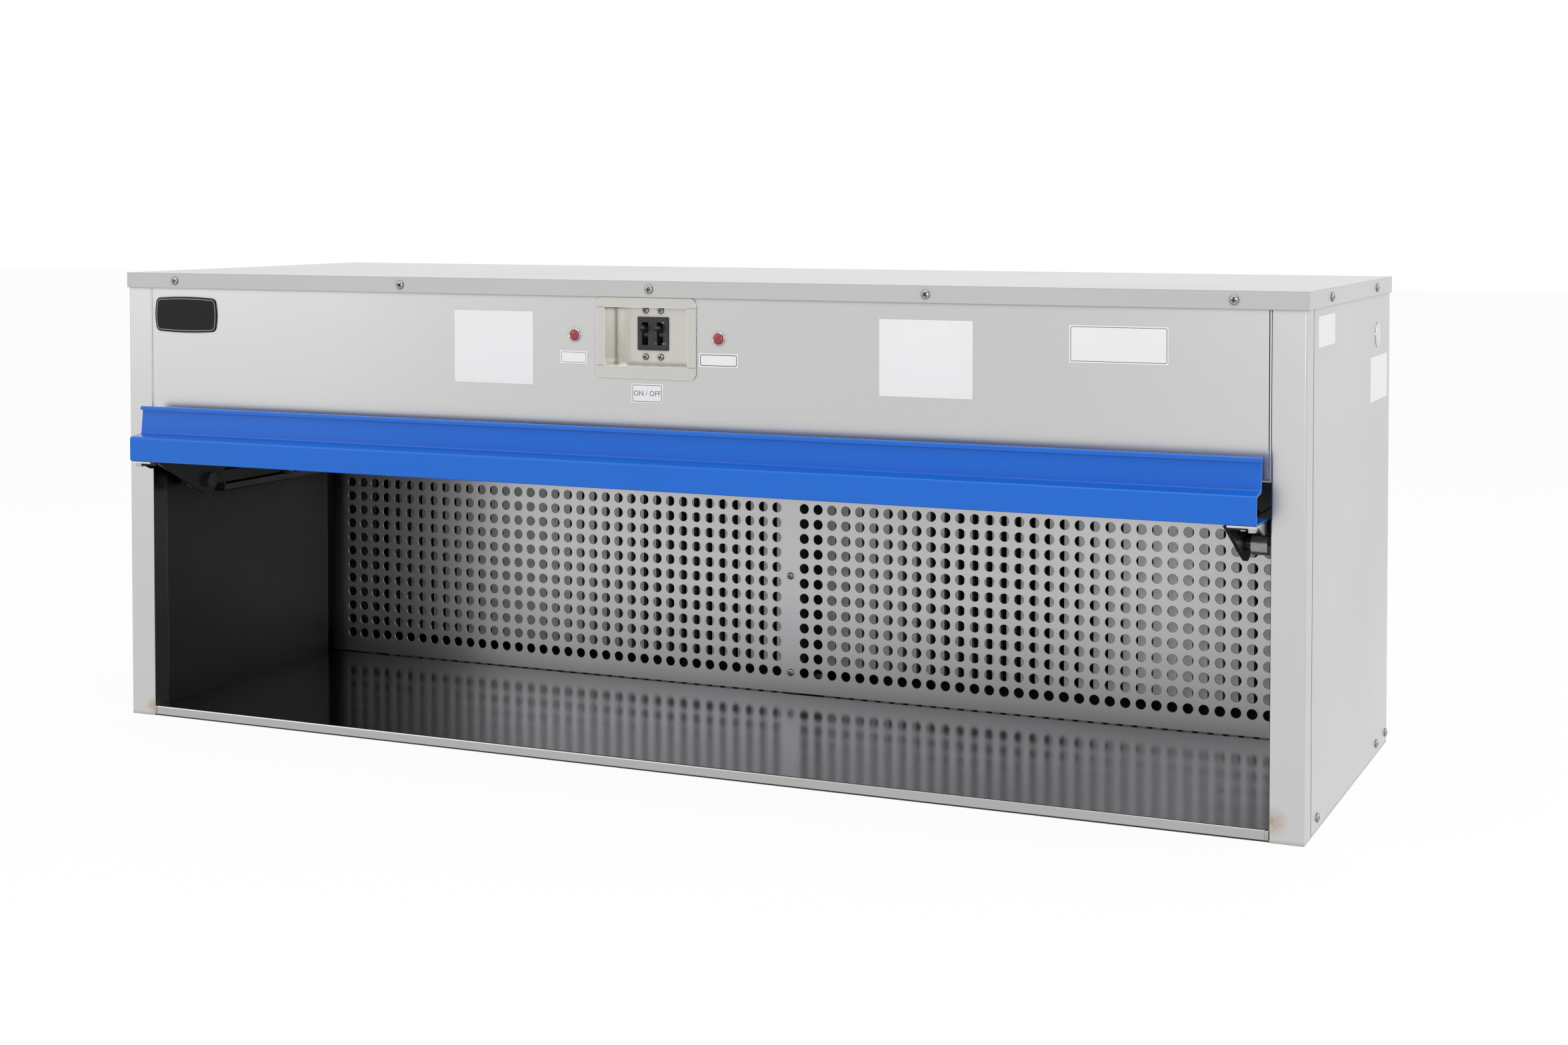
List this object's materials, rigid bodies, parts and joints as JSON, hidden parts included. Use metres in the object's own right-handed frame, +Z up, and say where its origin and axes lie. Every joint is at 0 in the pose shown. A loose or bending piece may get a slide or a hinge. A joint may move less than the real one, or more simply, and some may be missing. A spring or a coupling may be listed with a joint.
{
  "type": "plate warmer",
  "caption": "Long stainless heated plate warmer with a perforated back that lets warm air in, and a blue-handled pocket door stowed flat under its control panel.",
  "frame": {"origin": "middle of the underside", "axes": "+X along the length of the cabinet to the right, -Y out of the open front, +Z up"},
  "size_m": [1.4662, 0.5366, 0.551],
  "materials": {
    "stainless": "brushed",
    "blue_paint": "gloss powder coat",
    "screw_steel": "bright",
    "black_paint": "satin",
    "sleeve_rubber": "matte",
    "black_plastic": "matte",
    "white_nylon": "matte",
    "toggle_plastic": "gloss",
    "heater_sheath": "oxidised",
    "red_lens": "clear gloss",
    "mineral_board": "fibrous"
  },
  "bodies": {
    "cabinet": {"air_duct": "stainless", "back_panel": "stainless", "back_sheet_screws": "screw_steel", "back_supports": "stainless", "bottom_pan": "stainless", "breaker": "black_plastic", "breaker_recess": "stainless", "breaker_screws": "screw_steel", "cable_entry_plug": "black_plastic", "cavity_ceiling": "stainless", "cavity_liners": "stainless", "ceiling_insulation": "mineral_board", "contactor": "black_plastic", "control_plate": "stainless", "corner_posts": "stainless", "cover_screws": "screw_steel", "deck": "stainless", "deck_stiffeners": "stainless", "fan_housings": "black_plastic", "fan_shelf": "stainless", "fascia": "stainless", "filter_channels": "stainless", "heater_brackets": "stainless", "heaters": "heater_sheath", "left_grease_filter": "stainless", "left_side_panel": "stainless", "over_heat_switch": "heater_sheath", "perforated_back": "stainless", "pilot_bezels": "screw_steel", "pilot_lamps": "black_plastic", "plenum_walls": "stainless", "power_light_lens": "red_lens", "rail_stops": "stainless", "rails": "stainless", "right_grease_filter": "stainless", "right_side_panel": "stainless", "side_insulation": "mineral_board", "side_panel_screws": "screw_steel", "terminal_block": "black_plastic", "thermostat": "black_plastic", "top_cover": "stainless", "trouble_light_lens": "red_lens"},
    "carriage": {"carriage_bars": "black_paint", "glides": "white_nylon", "glide_bolts": "screw_steel", "cross_shaft": "black_paint", "pivot_pins": "screw_steel"},
    "door": {"door_handle": "blue_paint", "door_panel": "stainless", "door_strips": "stainless", "front_brackets": "black_paint", "rear_brackets": "black_paint", "door_arms": "black_paint", "bumper_sleeves": "sleeve_rubber", "front_bolts": "screw_steel", "door_bolts": "screw_steel"},
    "toggles": {"breaker_toggles": "toggle_plastic"},
    "left_impeller": {"left_fan_impeller": "black_plastic"},
    "right_impeller": {"right_fan_impeller": "black_plastic"}
  },
  "joints": [
    {"name": "door_slide", "type": "slide", "parent": "cabinet", "child": "carriage", "axis": [0, -1, 0], "range_m": [0, 0.179]},
    {"name": "door_swing", "type": "hinge", "parent": "carriage", "child": "door", "pos_m": [0, -0.0175, 0.29], "axis": [1, 0, 0], "range_deg": [0, 90]},
    {"name": "breaker_toggle", "type": "hinge", "parent": "cabinet", "child": "toggles", "pos_m": [-0.0095, -0.2092, 0.4904], "axis": [1, 0, 0], "range_deg": [0, 50]},
    {"name": "left_fan_spin", "type": "hinge", "parent": "cabinet", "child": "left_impeller", "pos_m": [-0.35, 0.1924, 0.32], "axis": [0, 0, 1], "continuous": true},
    {"name": "right_fan_spin", "type": "hinge", "parent": "cabinet", "child": "right_impeller", "pos_m": [0.35, 0.1924, 0.32], "axis": [0, 0, 1], "continuous": true}
  ]
}
